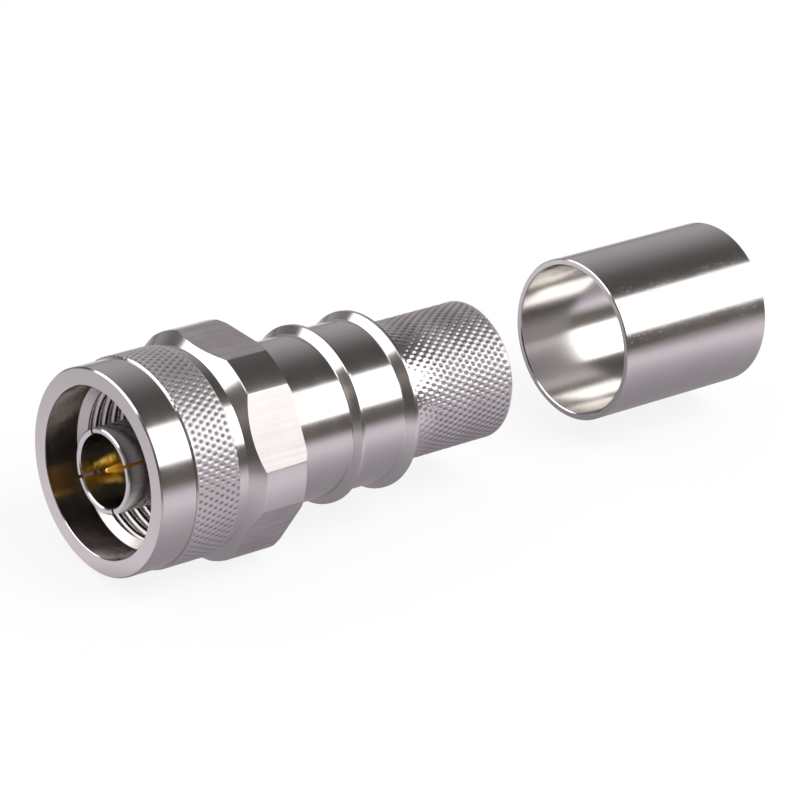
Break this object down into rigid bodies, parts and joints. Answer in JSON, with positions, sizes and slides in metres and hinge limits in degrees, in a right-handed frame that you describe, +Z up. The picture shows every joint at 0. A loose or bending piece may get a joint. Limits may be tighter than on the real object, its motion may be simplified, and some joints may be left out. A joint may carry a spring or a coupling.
{
  "type": "coaxial crimp plug",
  "caption": "Straight coaxial plug with a knurled, hexagonal coupling nut, a slotted outer contact, a ridged body ending in a knurled crimp post, and a loose crimp ferrule.",
  "frame": {"origin": "on the axis, at the front rim of the outer contact, which is the interface's reference plane", "axes": "+X runs along the axis from the mating end to the cable end, and +Z points up from the hexagon flat that the plug lies on"},
  "size_m": [0.0769, 0.0219, 0.0206],
  "materials": {
    "plated_metal": "satin white-bronze plating over turned brass",
    "contact_plating": "bright white-bronze plating over spring bronze",
    "spring_bronze": "plain spring bronze",
    "gold_plating": "gold plating",
    "ferrule_plating": "white-bronze plating over drawn copper alloy tube",
    "seal_rubber": "moulded silicone rubber",
    "insulator_plastic": "turned white fluoroplastic"
  },
  "bodies": {
    "connector": {"plug_body": "plated_metal", "crimp_body": "plated_metal", "outer_contact": "contact_plating", "front_insulator": "insulator_plastic", "retaining_bush": "plated_metal", "rear_insulator": "insulator_plastic", "centre_contact": "gold_plating", "nut_snap_ring": "spring_bronze", "face_gasket": "seal_rubber", "rear_seal": "seal_rubber"},
    "nut": {"coupling_nut": "plated_metal"},
    "ferrule": {"crimp_ferrule": "ferrule_plating"}
  },
  "joints": [
    {"name": "nut_turn", "type": "hinge", "parent": "connector", "child": "nut", "pos_m": [0.0125, 0, 0], "axis": [1, 0, 0], "continuous": true},
    {"name": "ferrule_slide", "type": "slide", "parent": "connector", "child": "ferrule", "axis": [-1, 0, 0], "range_m": [0, 0.02685]}
  ]
}
